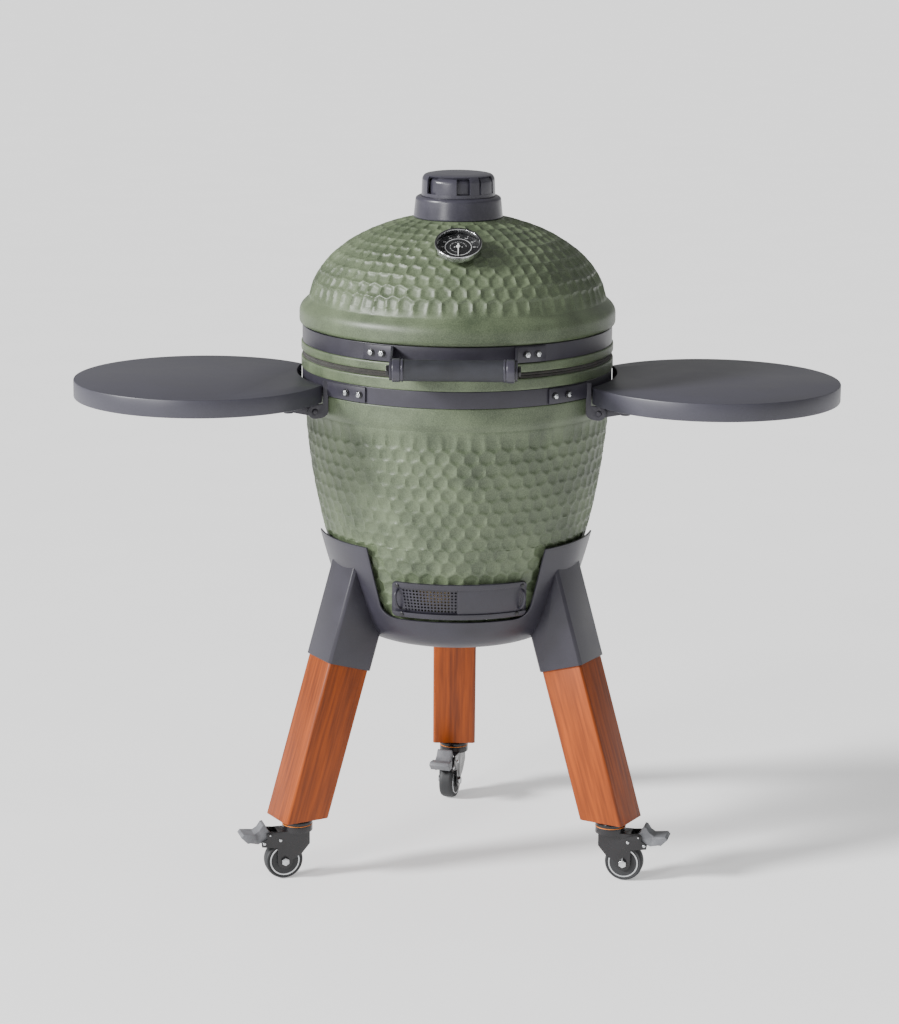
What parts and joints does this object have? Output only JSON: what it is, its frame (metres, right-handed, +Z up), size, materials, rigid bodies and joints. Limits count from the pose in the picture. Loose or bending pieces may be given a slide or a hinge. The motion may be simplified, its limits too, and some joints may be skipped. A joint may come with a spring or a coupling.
{
  "type": "ceramic charcoal grill",
  "caption": "Egg-shaped ceramic charcoal grill with a hinged lid, a cradle on wooden legs with braked casters, and folding round side shelves.",
  "frame": {"origin": "on the floor, under the middle of the object's bounding box; the body's vertical axis stands 8.6 mm forward of it", "axes": "+Z up, +X to the right seen from the front, front (handle, thermometer, draft door) faces -Y"},
  "size_m": [1.279, 0.6792, 1.1876],
  "materials": {
    "glazed_stoneware": "matt sage-green glaze over hand-size dimples",
    "fireclay": "bare refractory clay",
    "powder_coat": "fine-textured slate-grey powder coat on steel",
    "cast_iron": "satin dark-grey coated casting",
    "stainless": "ground bar",
    "zinc_steel": "bright zinc plate",
    "black_steel": "black paint, semi-gloss",
    "felt": "woven high-temperature felt",
    "timber": "oiled orange-brown hardwood",
    "shelf_coat": "slate-grey coated board",
    "tread_rubber": "matt black",
    "grey_nylon": "moulded, fine grain",
    "grip_rubber": "fine diamond-knurled grip",
    "chrome": "polished",
    "white_paint": "painted",
    "dial_black": "printed dial",
    "glass": "clear lens"
  },
  "bodies": {
    "root": {"bowl": "glazed_stoneware", "fire_box": "fireclay", "fire_ring": "fireclay", "charcoal_grate": "cast_iron", "cooking_grid": "stainless", "base_gasket": "felt", "base_band": "powder_coat", "hinge_base_bracket": "powder_coat", "hinge_pin": "zinc_steel", "hinge_spring_left": "zinc_steel", "hinge_spring_right": "zinc_steel", "draft_frame": "powder_coat", "cradle": "powder_coat", "leg_socket_left": "powder_coat", "leg_left": "timber", "caster_top_left": "black_steel", "leg_socket_right": "powder_coat", "leg_right": "timber", "caster_top_right": "black_steel", "leg_socket_rear": "powder_coat", "leg_rear": "timber", "caster_top_rear": "black_steel", "shelf_bracket_left_front": "powder_coat", "shelf_bracket_left_rear": "powder_coat", "shelf_bracket_right_front": "powder_coat", "shelf_bracket_right_rear": "powder_coat"},
    "lid": {"dome_lid": "glazed_stoneware", "lid_gasket": "felt", "lid_band": "powder_coat", "hinge_lid_bracket": "powder_coat", "handle_bracket_left": "powder_coat", "handle_bracket_right": "powder_coat", "handle_grip": "grip_rubber", "handle_rod": "zinc_steel", "thermometer_case": "chrome", "thermometer_dial": "dial_black", "thermometer_glass": "glass", "thermometer_probe": "chrome", "vent_collar": "cast_iron"},
    "vent_cap": {"vent_cap": "cast_iron"},
    "needle": {"thermometer_needle": "white_paint"},
    "draft_door": {"draft_door": "powder_coat"},
    "draft_screen": {"draft_screen": "powder_coat"},
    "shelf_left": {"shelf_board_left": "shelf_coat", "shelf_carrier_left": "powder_coat"},
    "shelf_right": {"shelf_board_right": "shelf_coat", "shelf_carrier_right": "powder_coat"},
    "caster_left": {"caster_fork_left": "black_steel", "caster_axle_left": "zinc_steel"},
    "wheel_left": {"caster_wheel_left": "tread_rubber"},
    "pedal_left": {"caster_pedal_left": "grey_nylon"},
    "caster_right": {"caster_fork_right": "black_steel", "caster_axle_right": "zinc_steel"},
    "wheel_right": {"caster_wheel_right": "tread_rubber"},
    "pedal_right": {"caster_pedal_right": "grey_nylon"},
    "caster_rear": {"caster_fork_rear": "black_steel", "caster_axle_rear": "zinc_steel"},
    "wheel_rear": {"caster_wheel_rear": "tread_rubber"},
    "pedal_rear": {"caster_pedal_rear": "grey_nylon"}
  },
  "joints": [
    {"name": "lid_hinge", "type": "hinge", "parent": "root", "child": "lid", "pos_m": [0, 0.28136, 0.885], "axis": [-1, 0, 0], "range_deg": [0, 75]},
    {"name": "vent_cap_turn", "type": "hinge", "parent": "lid", "child": "vent_cap", "pos_m": [0, -0.00864, 1.15], "axis": [0, 0, 1], "range_deg": [0, 90]},
    {"name": "needle_turn", "type": "hinge", "parent": "lid", "child": "needle", "pos_m": [0, -0.18364, 1.07581], "axis": [0, -0.508, 0.8613], "range_deg": [-270, 0]},
    {"name": "draft_door_slide", "type": "hinge", "parent": "root", "child": "draft_door", "pos_m": [0, -0.00864, 0.496], "axis": [0, 0, -1], "range_deg": [0, 24]},
    {"name": "draft_screen_slide", "type": "hinge", "parent": "root", "child": "draft_screen", "pos_m": [0, -0.00864, 0.496], "axis": [0, 0, -1], "range_deg": [-23.5, 0]},
    {"name": "shelf_left_fold", "type": "hinge", "parent": "root", "child": "shelf_left", "pos_m": [-0.25646, -0.06222, 0.808], "axis": [0.2045, -0.9789, 0], "range_deg": [0, 90]},
    {"name": "shelf_right_fold", "type": "hinge", "parent": "root", "child": "shelf_right", "pos_m": [0.25646, -0.06222, 0.808], "axis": [0.2045, 0.9789, 0], "range_deg": [0, 90]},
    {"name": "caster_left_swivel", "type": "hinge", "parent": "root", "child": "caster_left", "pos_m": [-0.26674, -0.16264, 0.09], "axis": [0, 0, 1], "continuous": true},
    {"name": "wheel_left_spin", "type": "hinge", "parent": "caster_left", "child": "wheel_left", "pos_m": [-0.29079, -0.16945, 0.0325], "axis": [0.2723, -0.9622, 0], "continuous": true},
    {"name": "brake_left_pedal", "type": "hinge", "parent": "caster_left", "child": "pedal_left", "pos_m": [-0.31581, -0.17653, 0.0805], "axis": [0.2723, -0.9622, 0], "range_deg": [0, 15]},
    {"name": "caster_right_swivel", "type": "hinge", "parent": "root", "child": "caster_right", "pos_m": [0.26674, -0.16264, 0.09], "axis": [0, 0, 1], "continuous": true},
    {"name": "wheel_right_spin", "type": "hinge", "parent": "caster_right", "child": "wheel_right", "pos_m": [0.29111, -0.16822, 0.0325], "axis": [0.2233, 0.9748, 0], "continuous": true},
    {"name": "brake_right_pedal", "type": "hinge", "parent": "caster_right", "child": "pedal_right", "pos_m": [0.31645, -0.17403, 0.0805], "axis": [0.2233, 0.9748, 0], "range_deg": [0, 15]},
    {"name": "caster_rear_swivel", "type": "hinge", "parent": "root", "child": "caster_rear", "pos_m": [0, 0.29936, 0.09], "axis": [0, 0, 1], "continuous": true},
    {"name": "wheel_rear_spin", "type": "hinge", "parent": "caster_rear", "child": "wheel_rear", "pos_m": [-0.00689, 0.27532, 0.0325], "axis": [0.9613, -0.2756, 0], "continuous": true},
    {"name": "brake_rear_pedal", "type": "hinge", "parent": "caster_rear", "child": "pedal_rear", "pos_m": [-0.01406, 0.25033, 0.0805], "axis": [0.9613, -0.2756, 0], "range_deg": [0, 15]}
  ]
}
